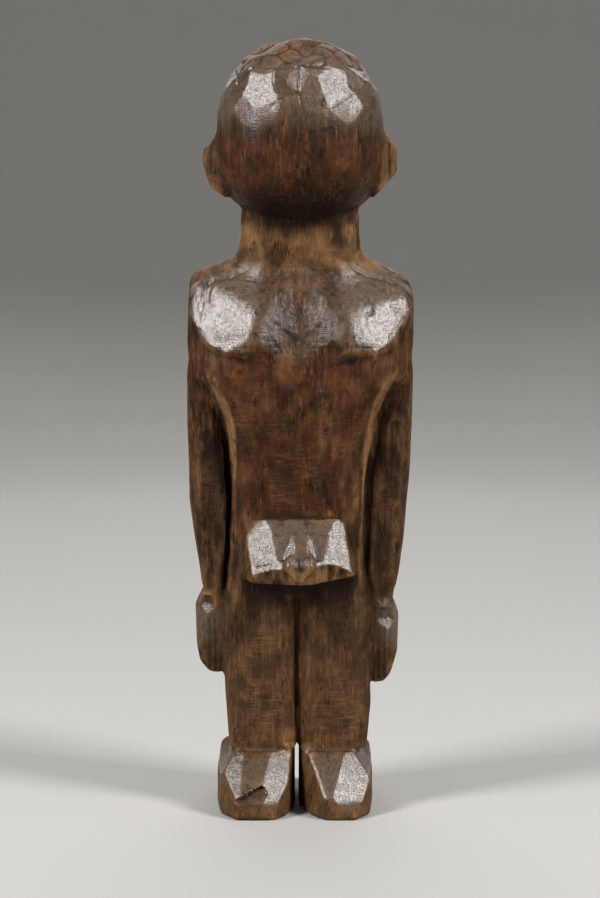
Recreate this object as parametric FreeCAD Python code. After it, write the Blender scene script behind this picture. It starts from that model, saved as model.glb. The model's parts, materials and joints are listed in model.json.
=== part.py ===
"""Standing doll carved from one billet of dark hardwood, divided at the carver's own creases.

Units are millimetres. +Z is up, the doll faces -Y, and its left side is +X.
The origin is on the ground, midway between the outer faces of the figure.
"""

import FreeCAD, Part
import math
import os

V = FreeCAD.Vector

# Driving dimensions
HEIGHT = 251.5
HALF_WIDTH = 37.0  # origin to the outer face of either arm
HALF_DEPTH = 30.0  # origin to the backs of the heels, and to the tip of the nose

# Levels, measured up from the soles
ANKLE_Z = 20.0
WEB_LOW_Z = 30.0  # below this the cut between the legs goes right through
HIP_Z = 70.0
SEAT_Z = 75.2  # underside of the buttocks
BUTTOCK_TOP_Z = 95.8
ARMPIT_Z = 148.0
NECK_BASE_Z = 181.0
HEAD_LOW_Z = 191.0
HEAD_MID_Z = 222.0

BACK_Y = 25.0  # the fullest part of the back, at the lower edge of the shoulder pads
CHEST_Y = -17.0
FACE_Y = -24.0

# The skull is a superellipsoid that the knife has cut into flats
SKULL_HALF = V(27.2, 27.0, HEIGHT - HEAD_MID_Z)
SKULL_DROP = HEAD_MID_Z - HEAD_LOW_Z
SKULL_POWER_UP = 2.15
SKULL_POWER_DOWN = 2.4
FACET_WIDTH = 11.0
CROWN_FACET_WIDTH = 8.5
CROWN_LIFT = 50  # degrees; above this the flats are the small ones

# The cuts beside the arms stop at a web, deeper in on the doll's left
ARM_WEB_FRONT_Y = -8.5
ARM_WEB_LEFT_Y = 4.0
ARM_WEB_RIGHT_Y = 7.0
ARM_WEB_ROOT_X = 19.0

# The gap between the legs runs a little to the doll's left of the middle
LEG_GAP_X = 1.1
LEG_GAP = 1.2

BIG = 400.0  # larger than the doll every way, for boxes that shave a plane


def prism(points, plane, low, high):
    """A flat outline drawn in "xz", "yz" or "xy" and pushed from low to high along the third axis."""
    place = {
        "xz": lambda a, b: V(a, low, b),
        "yz": lambda a, b: V(low, a, b),
        "xy": lambda a, b: V(a, b, low),
    }[plane]
    push = {"xz": V(0, high - low, 0), "yz": V(high - low, 0, 0), "xy": V(0, 0, high - low)}[plane]
    ring = [place(a, b) for a, b in points]
    return Part.Face(Part.makePolygon(ring + ring[:1])).extrude(push)


def shave(shape, point, outward):
    """Cuts away everything beyond the plane through point, on the side that outward points to."""
    box = Part.makeBox(BIG, BIG, BIG, V(-BIG / 2, -BIG / 2, 0))
    box.Placement = FreeCAD.Placement(V(*point), FreeCAD.Rotation(V(0, 0, 1), V(*outward)))
    return shape.cut(box)


def cut_each(shape, blockers):
    """The shape with every neighbour taken out of it, so that the two meet face to face."""
    for blocker in blockers:
        shape = shape.cut(blocker)
    return shape


def both_sides(half_outline):
    """A closed outline from its +X half, listed from one end of the middle line to the other."""
    return half_outline + [(-x, z) for x, z in reversed(half_outline)]


def level_ring(z, x_low, x_high, y_low, y_high, front_bevel, back_bevel):
    """One level of a limb: a rectangle whose front and back corners are bevelled."""
    f, b = front_bevel, back_bevel
    corners = [
        (x_low + f, y_low),
        (x_high - f, y_low),
        (x_high, y_low + f),
        (x_high, y_high - b),
        (x_high - b, y_high),
        (x_low + b, y_high),
        (x_low, y_high - b),
        (x_low, y_low + f),
    ]
    ring = [V(x, y, z) for x, y in corners]
    return Part.makePolygon(ring + ring[:1])


def whittled(levels):
    """A solid with flat sides between levels of (z, x_low, x_high, y_low, y_high, front, back)."""
    return Part.makeLoft([level_ring(*level) for level in levels], True, True)


def skull_flat(bearing, lift):
    """Point and outward normal of one knife flat, from its bearing and its lift, in degrees."""
    upward = lift >= 0
    half = V(SKULL_HALF.x, SKULL_HALF.y, SKULL_HALF.z if upward else SKULL_DROP)
    power = SKULL_POWER_UP if upward else SKULL_POWER_DOWN
    a, e = math.radians(bearing), math.radians(lift)
    way = V(math.cos(a) * math.cos(e), math.sin(a) * math.cos(e), math.sin(e))
    terms = [abs(c / r) ** power for c, r in zip(way, half)]
    point = way * sum(terms) ** (-1 / power) + V(0, 0, HEAD_MID_Z)
    normal = V(*[math.copysign(t / max(abs(c), 1e-6), c) for t, c in zip(terms, way)])
    return point, normal


def make_skull():
    """The back and crown of the head, cut flat by flat in rings from the ears up and down."""
    room = 80.0
    skull = Part.makeBox(room, room, room, V(-room / 2, -room / 2, HEAD_MID_Z - room / 2))
    for ring, lift in enumerate((0, 22, 42, 60, 77, -20, -40, -58, -75)):
        width = CROWN_FACET_WIDTH if lift > CROWN_LIFT else FACET_WIDTH
        around = 2 * math.pi * SKULL_HALF.x * math.cos(math.radians(lift))
        count = max(6, round(around / width))
        for step in range(count):
            stagger = 0.5 * (ring % 2)
            skull = shave(skull, *skull_flat(360 * (step + stagger) / count, lift))
    skull = shave(skull, (0, 0, HEIGHT), (0, 0, 1))
    return shave(skull, (0, 0, HEAD_LOW_Z), (0, 0, -1))


def make_head():
    """Skull with the jaw below it in front, a heart-shaped face under the brow, and the nose."""
    jaw_side = [(26.5, 214), (27.5, 205), (23, 200), (18, 195.5), (11, 192.5)]
    jaw = prism(both_sides(jaw_side), "xz", FACE_Y, 3)
    jaw = shave(jaw, (0, FACE_Y, 199), (0, -0.8, -1))
    for side in (1, -1):
        jaw = shave(jaw, (side * 15, FACE_Y, 207), (side, -0.75, 0))
    brow = [(9, 190), (17, 197), (21, 209), (21, 218), (16, 225.5), (8, 227), (2.5, 224)]
    head = make_skull().fuse(jaw).cut(prism(both_sides(brow), "xz", -40, FACE_Y))
    bridge, tip, nostril = (FACE_Y - 0.5, 225), (-HALF_DEPTH, 210), (-28.5, 207)
    nose = prism([(FACE_Y + 2, 225), bridge, tip, nostril, (FACE_Y + 2, 207)], "yz", -4.5, 4.5)
    for side in (1, -1):
        nose = shave(nose, (side * 2.6, -27, 216), (side, 0, 0.12))
    return head.fuse(nose).removeSplitter()


def make_ear(side, head):
    """A thick ear on the side of the head, tapering to the jaw below and thinner at its rim."""
    rim = HALF_WIDTH - 5.2
    upper_edge = [(24, 222), (27.5, 221.5), (rim - 2.5, 219.5)]
    outline = upper_edge + [(rim, 215.5), (rim, 207), (rim - 1.5, 204), (24, 200.5)]
    ear = prism([(side * x, z) for x, z in outline], "xz", -6, 3.5)
    ear = shave(ear, (side * rim, 1.0, 212), (side, 1.4, 0))
    ear = shave(ear, (side * rim, -3.5, 212), (side, -1.8, 0))
    return ear.cut(head)


def make_neck(head, shoulders):
    """A stout post from the yoke into the underside of the head."""
    neck = whittled(
        [
            (162, -23.5, 23.5, -16.5, 13, 7, 7),
            (176, -22.5, 22.5, -16, 11.5, 7, 7),
            (183, -20.3, 20.3, -15.5, 10.5, 7, 7),
            (189, -19.4, 19.4, -15, 10, 7, 7),
            (202, -19.4, 19.4, -15, 10, 7, 7),
        ]
    )
    return cut_each(neck, (head, shoulders))


def make_shoulders():
    """The yoke: a sloping pad behind each shoulder, a valley between them, and a flatter chest."""
    outline = [
        (HALF_WIDTH, ARMPIT_Z),
        (36.4, 163),
        (36.3, 174.3),
        (35.4, 175.5),
        (27, 178.9),
        (21.4, NECK_BASE_Z),
        (-21.5, NECK_BASE_Z),
        (-30.6, 176.4),
        (-34.2, 174.4),
        (-36.4, 171.8),
        (-HALF_WIDTH, 167.5),
        (-HALF_WIDTH, ARMPIT_Z),
    ]
    whole = prism(outline, "xz", CHEST_Y, BACK_Y)
    armhole = [(38, 165), (36.2, 161), (33.8, 156), (31.2, 152.5)]
    armhole += [(31.2, ARMPIT_Z - 1), (38, ARMPIT_Z - 1)]
    halves = []
    for side in (1, -1):
        room = Part.makeBox(BIG, BIG, BIG, V(0 if side > 0 else -BIG, -BIG / 2, 0))
        half = whole.common(room)
        half = shave(half, (side * 17, BACK_Y, 150.5), (side * 0.30, 0.88, 0.36))
        half = shave(half, (side * 17, BACK_Y - 4, 161), (side * 0.16, 0.74, 0.65))
        half = shave(half, (side * 6, BACK_Y - 4, 152), (-side * 0.34, 0.90, 0.25))
        half = shave(half, (side * 14, CHEST_Y + 2, 164), (side * 0.15, -0.80, 0.50))
        half = half.cut(prism([(side * x, z) for x, z in armhole], "xz", 11.5, 40))
        halves.append(half)
    return halves[0].fuse(halves[1]).removeSplitter()


def arm_web(levels, side, rear_y):
    """The wood left between an arm and the trunk, at the bottom of the cut that parts them."""
    arm_side = [(min(abs(near), abs(far)), z) for z, near, far, *_ in levels[1:]]
    outline = [(side * x, z) for x, z in arm_side]
    outline += [(side * (ARM_WEB_ROOT_X + 6), ARMPIT_Z), (side * ARM_WEB_ROOT_X, arm_side[0][1])]
    return prism(outline, "xz", ARM_WEB_FRONT_Y, rear_y)


def make_trunk():
    """Back, belly and hips, with a thin web out to each arm."""
    trunk = whittled(
        [
            (HIP_Z, -21, 24, -14, 13, 5, 3),
            (82, -20.3, 23.4, -18, 13, 5, 4),
            (96.5, -21.4, 22.3, -20, 13.2, 6, 4),
            (114, -21.7, 22, -17.5, 15.5, 5, 4),
            (128, -23.6, 23.5, -16, 18.5, 4, 4),
            (139, -28.3, 28, -16.5, 21, 4, 3),
            (ARMPIT_Z, -31.2, 31.2, CHEST_Y, 21.8, 4, 2),
        ]
    )
    trunk = trunk.fuse(arm_web(ARM_LEFT_LEVELS, 1, ARM_WEB_LEFT_Y))
    return trunk.fuse(arm_web(ARM_RIGHT_LEVELS, -1, ARM_WEB_RIGHT_Y)).removeSplitter()


def make_buttocks(blockers):
    """A wedge that stands out behind the hips: two broad flats with two narrow lobes between."""
    rear_y = 25.2
    top, bottom = BUTTOCK_TOP_Z, SEAT_Z
    slope = [(8, top), (15.5, top), (rear_y - 0.2, bottom + 6), (rear_y, bottom + 5)]
    end_grain = [(rear_y - 1.6, bottom + 3), (rear_y - 2.6, bottom), (8, bottom)]
    wedge = prism(slope + end_grain, "yz", -18.3, 18.0)
    wedge = shave(wedge, (8.2, 21.3, 87), (0.40, 0.83, 0.39))
    wedge = shave(wedge, (-9.4, 21.3, 87), (-0.40, 0.83, 0.39))
    wedge = shave(wedge, (16.8, 17.2, 87), (0.90, 0.42, 0.05))
    wedge = shave(wedge, (-16.1, 21.8, 78.8), (-0.86, 0.38, 0.27))
    for side in (1, -1):
        furrow = [(side * 5.6, 21), (side * 3.8, 28), (side * 8.4, 28)]
        wedge = wedge.cut(prism(furrow, "xy", bottom - 6, bottom + 17))
    return cut_each(wedge, blockers)


def make_arm(levels, blockers):
    """A straight arm from the yoke to the wrist."""
    return cut_each(whittled(levels), blockers)


def make_hand(outline, side, blockers):
    """A mitten hand held flat against the thigh, with its back bevelled from the wrist down."""
    hand = prism(outline, "xz", -9, 9.5)
    outer = max(abs(x) for x, _ in outline)
    low = min(z for _, z in outline)
    hand = shave(hand, (side * outer, 4.5, low + 10), (side, 0.9, 0))
    hand = shave(hand, (side * outer, -5, low + 10), (side, -0.9, 0))
    hand = shave(hand, (side * outer, 6.5, low), (0, 1, -0.12))
    return cut_each(hand, blockers)


def make_leg(levels, side):
    """A square-backed leg from levels of (z, outer_x, y_low, y_high, front, back)."""
    inner = LEG_GAP_X + side * LEG_GAP / 2
    return whittled([(z, *sorted((inner, side * outer)), *rest) for z, outer, *rest in levels])


def make_web():
    """The wood left standing between the thighs, where the cut between the legs stays shallow."""
    return Part.makeBox(LEG_GAP, 9, HIP_Z - WEB_LOW_Z, V(LEG_GAP_X - LEG_GAP / 2, -4, WEB_LOW_Z))


def make_foot(plan, side, leg, heel_flats):
    """A wedge foot: heel and toes slope down from the ankle, and flats narrow the heel behind."""
    heel = [(HALF_DEPTH - 0.3, 0), (HALF_DEPTH, 1.5), (HALF_DEPTH - 1.4, 7), (17.5, ANKLE_Z)]
    toes = [(-9, ANKLE_Z), (-27, 8), (-29, 4), (-28.5, 0)]
    foot = prism(plan, "xy", 0, 30).common(prism(heel + toes, "yz", -40, 40))
    outer = max(side * x for x, _ in plan)
    foot = shave(foot, (side * (outer - 2.6), 5, 17), (side, 0.15, 0.7))
    for point, outward in heel_flats:
        foot = shave(foot, point, outward)
    return foot.cut(leg)


LEG_LEFT_LEVELS = [
    (ANKLE_Z, 23, -9, 15.5, 4, 2),
    (28, 23.7, -11, 14.5, 4, 3),
    (41, 24.7, -14, 13, 4, 3),
    (56, 24.6, -13.5, 12.5, 4, 3),
    (HIP_Z, 24, -14, 13, 5, 3),
]
LEG_RIGHT_LEVELS = [
    (ANKLE_Z, 21.7, -9, 15.5, 4, 2),
    (30, 22.8, -11, 14.5, 4, 3),
    (36, 23.3, -14, 13.5, 4, 3),
    (56, 22.1, -13.5, 12.5, 4, 3),
    (HIP_Z, 21, -14, 13, 5, 3),
]
ARM_LEFT_LEVELS = [
    (71.5, 25.2, 32, -7, 8, 2, 2),
    (81, 25.4, 33.3, -8, 9, 2.5, 2.5),
    (88, 24.2, 34.5, -9, 9.5, 3, 3),
    (101, 23.3, 36.2, -10, 10.5, 3, 3),
    (127, 26, 36.9, -11.5, 11.5, 3, 3),
    (139, 28.9, 36.9, -12, 11.5, 3, 2),
    (ARMPIT_Z, 30, 36.9, -12, 11.5, 2, 2),
]
ARM_RIGHT_LEVELS = [
    (68.5, -30.6, -23.4, -7, 8, 2, 2),
    (78, -32.6, -22.5, -8, 9, 2.5, 2.5),
    (88, -34, -21.8, -9, 9.5, 3, 3),
    (108, -35.8, -22.6, -10, 10.5, 3, 3),
    (127, -36.6, -26, -11.5, 11.5, 3, 3),
    (139, -36.9, -29.2, -12, 11.5, 3, 2),
    (ARMPIT_Z, -HALF_WIDTH, -30, -12, 11.5, 2, 2),
]
HAND_LEFT_OUTLINE = [
    (25, 71.5),
    (32, 71.5),
    (34.6, 66.5),
    (34.2, 54),
    (33, 48),
    (30, 44.2),
    (24, 43.5),
    (24, 68),
]
HAND_RIGHT_OUTLINE = [
    (-23.4, 68.5),
    (-30.6, 68.5),
    (-32.6, 63.5),
    (-32.1, 51),
    (-29.8, 43.5),
    (-27.6, 40.8),
    (-21.5, 40.2),
    (-21.5, 65),
]
FOOT_LEFT_PLAN = [
    (23.2, HALF_DEPTH),
    (25.6, 24),
    (27.3, 6),
    (26.5, -18),
    (23, -29),
    (6, -29),
    (LEG_GAP_X + 1.0, -16),
    (LEG_GAP_X + 0.8, 8),
    (4.2, 25),
    (7.5, HALF_DEPTH),
]
FOOT_RIGHT_PLAN = [
    (-19.5, HALF_DEPTH),
    (-22.4, 26),
    (-23.9, 6),
    (-23.5, -18),
    (-20, -29),
    (-4, -29),
    (LEG_GAP_X - 1.0, -16),
    (LEG_GAP_X - 0.8, 8),
    (-3, 24),
    (-8.8, HALF_DEPTH),
]


# Flats at the sides of each heel: a point on each and the way it faces
HEEL_LEFT_FLATS = [((5.6, 24, 11), (-0.82, 0.57, 0.1)), ((24.2, 22, 9), (0.86, 0.5, 0.1))]
HEEL_RIGHT_FLATS = [((-6.6, 27, 6), (0.84, 0.53, 0.12)), ((-21.6, 22, 9), (-0.86, 0.5, 0.1))]


def make_all():
    """Every sub-part by node name."""
    head = make_head()
    shoulders = make_shoulders()
    trunk = make_trunk()
    leg_left = make_leg(LEG_LEFT_LEVELS, 1).fuse(make_web()).removeSplitter()
    leg_right = make_leg(LEG_RIGHT_LEVELS, -1)
    return {
        "head": head,
        "ear_left": make_ear(1, head),
        "ear_right": make_ear(-1, head),
        "neck": make_neck(head, shoulders),
        "shoulders": shoulders,
        "trunk": trunk,
        "buttocks": make_buttocks((trunk, leg_left, leg_right)),
        "arm_left": make_arm(ARM_LEFT_LEVELS, (trunk, shoulders)),
        "arm_right": make_arm(ARM_RIGHT_LEVELS, (trunk, shoulders)),
        "hand_left": make_hand(HAND_LEFT_OUTLINE, 1, (trunk, leg_left)),
        "hand_right": make_hand(HAND_RIGHT_OUTLINE, -1, (trunk, leg_right)),
        "leg_left": leg_left,
        "leg_right": leg_right,
        "foot_left": make_foot(FOOT_LEFT_PLAN, 1, leg_left, HEEL_LEFT_FLATS),
        "foot_right": make_foot(FOOT_RIGHT_PLAN, -1, leg_right, HEEL_RIGHT_FLATS),
    }


os.makedirs("parts", exist_ok=True)
for name, shape in make_all().items():
    solid = shape.Solids[0]
    print(f"{name}: {len(shape.Solids)} solid, {solid.Volume:.0f} mm3, valid {solid.isValid()}")
    solid.exportStep(f"parts/{name}.step")
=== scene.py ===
"""A carved wooden doll: the looks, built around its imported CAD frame.

The CAD members are joined into one distance field, as the doll is one billet, and the field is
carved with knife flats, gouge scoops and grooves. The skin is then divided into the CAD's members.
Shapes are worked out in millimetres, and pieces are made in metres.
"""

import json
import math

import bmesh
import bpy
import numpy as np
import openvdb
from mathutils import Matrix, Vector


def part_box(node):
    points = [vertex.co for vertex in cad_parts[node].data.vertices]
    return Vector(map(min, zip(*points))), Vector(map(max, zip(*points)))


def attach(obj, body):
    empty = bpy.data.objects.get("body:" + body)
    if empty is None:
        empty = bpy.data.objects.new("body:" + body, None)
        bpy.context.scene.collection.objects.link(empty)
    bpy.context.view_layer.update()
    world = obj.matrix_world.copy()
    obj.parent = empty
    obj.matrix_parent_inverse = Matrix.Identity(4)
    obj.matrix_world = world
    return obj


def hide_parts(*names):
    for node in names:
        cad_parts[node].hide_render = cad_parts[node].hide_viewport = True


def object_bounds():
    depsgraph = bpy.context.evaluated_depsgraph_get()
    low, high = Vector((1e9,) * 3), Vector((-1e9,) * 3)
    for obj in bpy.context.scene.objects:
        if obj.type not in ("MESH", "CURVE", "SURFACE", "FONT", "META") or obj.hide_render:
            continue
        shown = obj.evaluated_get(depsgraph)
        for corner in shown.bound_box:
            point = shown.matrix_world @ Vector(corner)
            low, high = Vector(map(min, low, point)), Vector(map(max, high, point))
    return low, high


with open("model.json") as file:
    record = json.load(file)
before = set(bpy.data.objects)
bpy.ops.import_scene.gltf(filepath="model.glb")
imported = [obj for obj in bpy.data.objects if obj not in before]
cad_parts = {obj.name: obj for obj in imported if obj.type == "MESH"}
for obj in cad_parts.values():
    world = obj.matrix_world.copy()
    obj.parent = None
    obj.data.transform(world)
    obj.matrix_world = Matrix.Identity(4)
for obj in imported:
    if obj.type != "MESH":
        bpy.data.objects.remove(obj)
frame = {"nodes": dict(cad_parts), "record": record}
CAD_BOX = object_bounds()

MM = 0.001
VOXEL = 0.5
BAND = 3.0  # how far from the skin the field is worked out
SOFTENING = 0.8  # how far handling has rounded every edge, as a blur in millimetres
BOX_INSET = 0.02
SEED = 7
GOLDEN_ANGLE = math.pi * (3 - math.sqrt(5))
SIGHT = 90.0  # how far a line is followed until it meets the wood
SIGHT_STEP = 0.25

LEVELS = {name: [np.array(corner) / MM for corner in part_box(name)] for name in frame["nodes"]}
TOP = LEVELS["head"][1][2]
ARMPIT = LEVELS["shoulders"][0][2]
HIP = LEVELS["leg_left"][1][2]
ANKLE = LEVELS["leg_left"][0][2]
HALF_WIDTH = LEVELS["shoulders"][1][0]
HALF_DEPTH = LEVELS["foot_left"][1][1]
HEAD_CENTRE = np.array([0.0, 0.0, 221.0])
LEG_GAP_X = (LEVELS["leg_right"][1][0] + LEVELS["leg_left"][0][0]) / 2

LOW = np.floor(np.array([-HALF_WIDTH, -HALF_DEPTH, 0.0])) - 2
HIGH = np.ceil(np.array([HALF_WIDTH, HALF_DEPTH, TOP])) + 2
SHAPE = tuple(((HIGH - LOW) / VOXEL).astype(int) + 1)
AXES = [LOW[i] + VOXEL * np.arange(SHAPE[i], dtype=np.float32) for i in range(3)]
FIRST_CELL = tuple(int(round(c / VOXEL)) for c in LOW)
rng = np.random.default_rng(SEED)


def jitter(most, count=None):
    """A random number, or several, from -most to most."""
    return rng.uniform(-most, most, count)


# Distance fields


def mesh_points(mesh):
    """The places of a mesh's vertices, one to a row."""
    points = np.empty(len(mesh.vertices) * 3, np.float32)
    mesh.vertices.foreach_get("co", points)
    return points.reshape(-1, 3).astype(float)


def node_field(node):
    """Distance to the skin of one CAD node, negative inside it."""
    mesh = node.data
    mesh.calc_loop_triangles()
    corners = np.empty(len(mesh.loop_triangles) * 3, np.int32)
    mesh.loop_triangles.foreach_get("vertices", corners)
    points = mesh_points(mesh).astype(np.float32) / MM
    points, same = np.unique(np.round(points, 4), axis=0, return_inverse=True)
    grid = openvdb.FloatGrid.createLevelSetFromPolygons(
        points.astype(np.float32),
        triangles=same.reshape(-1)[corners].astype(np.uint32).reshape(-1, 3),
        transform=openvdb.createLinearTransform(VOXEL),
        halfWidth=BAND / VOXEL,
    )
    values = np.full(SHAPE, BAND, np.float32)
    grid.copyToArray(values, ijk=FIRST_CELL)
    return values


def blurred(values, sigma):
    """The values smoothed by a bell curve of that width in millimetres."""
    reach = int(math.ceil(2.6 * sigma / VOXEL))
    steps = np.arange(-reach, reach + 1)
    weights = np.exp(-0.5 * (steps * VOXEL / sigma) ** 2)
    weights = (weights / weights.sum()).astype(np.float32)
    for axis in range(3):
        pads = [(reach, reach) if a == axis else (0, 0) for a in range(3)]
        padded = np.pad(values, pads, mode="edge")
        total = np.zeros_like(values)
        for k, weight in enumerate(weights):
            part = [slice(None)] * 3
            part[axis] = slice(k, k + values.shape[axis])
            total += weight * padded[tuple(part)]
        values = total
    return values


def block(low, high):
    """The part of the field between two corners, and its x, y and z as arrays that broadcast."""
    part = []
    for i in range(3):
        first = max(0, int((low[i] - LOW[i]) / VOXEL))
        last = min(SHAPE[i], int((high[i] - LOW[i]) / VOXEL) + 2)
        part.append(slice(first, max(last, first + 1)))
    x = AXES[0][part[0]][:, None, None]
    y = AXES[1][part[1]][None, :, None]
    z = AXES[2][part[2]][None, None, :]
    return tuple(part), x, y, z


def corners(base, t):
    """The eight grid points around each place, with the weight of each."""
    for corner in np.ndindex(2, 2, 2):
        yield base + corner, np.prod(np.where(corner, t, 1 - t), axis=1)


def sample(values, points):
    """The values at any points, from the eight grid points around each."""
    at = (points - LOW) / VOXEL
    base = np.clip(np.floor(at).astype(int), 0, np.array(values.shape) - 2)
    t = np.clip(at - base, 0, 1)
    return sum(weight * values[i[:, 0], i[:, 1], i[:, 2]] for i, weight in corners(base, t))


def normals_at(values, points, step=0.3):
    """Unit outward normals from the slope of the field."""
    slope = np.empty((len(points), 3))
    for i in range(3):
        move = np.zeros(3)
        move[i] = step
        slope[:, i] = sample(values, points + move) - sample(values, points - move)
    return slope / np.maximum(np.linalg.norm(slope, axis=1), 1e-9)[:, None]


def unit(vector):
    """The vector with its length made 1."""
    vector = np.array(vector, float)
    return vector / np.linalg.norm(vector)


def way_out(lift, bearing):
    """A unit vector at an angle above the horizon and a bearing round the upright axis."""
    return np.array([math.cos(lift) * math.cos(bearing), math.cos(lift) * math.sin(bearing), math.sin(lift)])


def facing(turn, tilt):
    """A unit vector that faces back, turned to the left and tilted up by those parts of itself."""
    return turn, math.sqrt(1 - turn**2 - tilt**2), tilt


def touch(start, way):
    """Where a straight line from start first meets the wood, and the outward normal there."""
    way = unit(way)
    points = np.array(start, float) + np.arange(0, SIGHT, SIGHT_STEP)[:, None] * way
    values = sample(field, points)
    inside = np.flatnonzero(values < 0)
    if len(inside) == 0:
        return None, None
    k = max(inside[0], 1)
    share = values[k - 1] / (values[k - 1] - values[k])
    point = points[k - 1] + share * SIGHT_STEP * way
    return point, normals_at(field, point[None])[0]


def behind(x, z):
    """The skin seen from behind at x, z."""
    return touch((x, HALF_DEPTH + 4, z), (0, -1, 0))


def in_front(x, z):
    """The skin seen from in front at x, z."""
    return touch((x, -HALF_DEPTH - 4, z), (0, 1, 0))


def from_bearing(bearing, z):
    """The skin at height z, met from a bearing, with its normal and that bearing's way out."""
    way = way_out(0, bearing)
    point, normal = touch(70 * way + [0, 0, z], -way)
    return point, normal, way


def path_behind(*places):
    """The points of the skin seen from behind at each x, z."""
    return [behind(x, z)[0] for x, z in places]


def path_in_front(side, *places):
    """The points of the skin seen from in front at each x, z, on one side of the doll."""
    return [in_front(side * x, z)[0] for x, z in places]


# Knife and gouge


def outside(point, normal, x, y, z):
    """How far x, y, z lies outside the plane through the point with that unit normal."""
    return normal[0] * (x - point[0]) + normal[1] * (y - point[1]) + normal[2] * (z - point[2])


def cut_away(part, cut):
    """Removes all the wood where cut is positive."""
    np.maximum(field[part], cut, out=field[part])


def soften(values, part, sigma, share):
    """Blurs a part of the values, by a share from 0 to 1 at each point."""
    values[part] += share * (blurred(values[part], sigma) - values[part])


def take(part, cut, most):
    """Removes wood where cut is positive, up to most deep. Wood that stands much higher is left alone."""
    old = field[part]
    shaved = np.maximum(old, np.minimum(cut, old + most))
    field[part] = np.where(cut < most + 1.0, shaved, old)


def flat(point, normal, reach=9.0, depth=0.0, most=None, run_out=0.7):
    """Shaves a flat through the point, and past reach lets it climb out at the slope run_out."""
    n = unit(normal)
    p = np.array(point, float) - depth * n
    part, x, y, z = block(p - 1.6 * reach, p + 1.6 * reach)
    away = np.sqrt((x - p[0]) ** 2 + (y - p[1]) ** 2 + (z - p[2]) ** 2)
    cut = outside(p, n, x, y, z) - run_out * np.maximum(away - reach, 0)
    take(part, cut, depth + 0.6 if most is None else most)


def slab(low, high, point, normal):
    """Cuts everything in a box that lies outside a plane."""
    part, x, y, z = block(low, high)
    cut_away(part, outside(point, unit(normal), x, y, z))


def scoop(point, normal, depth, radius):
    """Takes a shallow dish out of the wood with a round cutter of that radius."""
    n = unit(normal)
    centre = np.array(point, float) + (radius - depth) * n
    width = math.sqrt(2 * radius * depth) * 1.6 + 2
    part, x, y, z = block(np.array(point) - width, np.array(point) + width)
    away = np.sqrt((x - centre[0]) ** 2 + (y - centre[1]) ** 2 + (z - centre[2]) ** 2)
    take(part, radius - away, depth)


def scatter_scoops(columns, heights, error, deepest, radius):
    """Faint scoops on the back, at each column and height give or take the error along x and z."""
    for x in columns:
        for z in heights:
            point, normal = behind(x + jitter(error[0]), z + jitter(error[1]))
            scoop(point, normal, rng.uniform(0.06, deepest), radius)


def groove(path, width, depth, sharp=True, grime=0.8):
    """Cuts a V, or a soft channel, along a path of skin points, and skips points that missed the wood."""
    path = np.array([point for point in path if point is not None], float)
    part, x, y, z = block(path.min(axis=0) - width - 1, path.max(axis=0) + width + 1)
    away = np.full(field[part].shape, BAND * 10, np.float32)
    for a, b in zip(path, path[1:]):
        line = b - a
        share = ((x - a[0]) * line[0] + (y - a[1]) * line[1] + (z - a[2]) * line[2]) / (line @ line)
        share = np.clip(share, 0, 1)
        offsets = (x - a[0] - share * line[0], y - a[1] - share * line[1], z - a[2] - share * line[2])
        np.minimum(away, np.sqrt(sum(offset**2 for offset in offsets)), out=away)
    reach = np.clip(1 - away / (width / 2), 0, 1)
    field[part] += depth * (reach if sharp else ramp(reach, 0, 1))
    dirt = grime * np.clip(1.2 - away / (width / 2), 0, 1)
    np.maximum(joints[part], dirt, out=joints[part])


def mound(point, half, lift):
    """Raises a soft swelling: half is its reach along x, y and z."""
    p = np.array(point, float)
    half = np.array(half, float)
    part, x, y, z = block(p - 1.1 * half, p + 1.1 * half)
    away = ((x - p[0]) / half[0]) ** 2 + ((y - p[1]) / half[1]) ** 2 + ((z - p[2]) / half[2]) ** 2
    field[part] -= lift * np.clip(1 - away, 0, 1) ** 2


def climb(value, start, run):
    """0 before start and 1 past the run, with a straight slope between. A negative run goes down."""
    return np.clip((value - start) / run, 0, 1)


def ramp(value, low, high):
    """0 below low and 1 above high, with an easy slope between."""
    t = np.clip((value - low) / (high - low), 0, 1)
    return t * t * (3 - 2 * t)


def read(stations, at):
    """A line of straight runs through (place, value) stations, read at any places."""
    places, values = zip(*stations)
    return np.interp(at, places, values)


def along(axis_values, stations):
    """The same line, made smooth, read at the places of an axis."""
    line = np.pad(read(stations, axis_values), 4, mode="edge")
    return np.convolve(line, np.ones(9) / 9, mode="valid").astype(np.float32)


def upright(stations, part):
    """A smooth line along z, ready to be used with the arrays of a part of the field."""
    return along(AXES[2], stations)[part[2]][None, None, :]


# Large odd numbers that scramble the x, y and z of a cell and the seed, and then stir the result
HASH_X = 73856093
HASH_Y = 19349663
HASH_Z = 83492791
HASH_SEED = 2654435761
HASH_STIR = 1274126177


def value_noise(points, scale, seed):
    """Smooth noise from -1 to 1, with cells of scale millimetres along x, y and z."""
    at = points / np.array(scale, float) + 40.0
    base = np.floor(at).astype(np.int64)
    t = at - base
    t = t * t * (3 - 2 * t)
    total = 0
    for i, weight in corners(base, t):
        mixed = i[:, 0] * HASH_X ^ i[:, 1] * HASH_Y ^ i[:, 2] * HASH_Z ^ seed * HASH_SEED
        mixed = (mixed ^ (mixed >> 13)) * HASH_STIR & 0xFFFFFFFF
        value = ((mixed >> 8) & 0xFFFF) / 32767.5 - 1
        total = total + weight * value
    return total


# The billet, from the CAD members

HEAD_SOFTENING = 2.2
SHOULDER_SOFTENING = 2.0
TRUNK_SOFTENING = 1.8
ROUNDED_FROM_Z = 122.0
BODY = ["neck", "shoulders", "trunk", "arm_left", "arm_right"]


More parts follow.
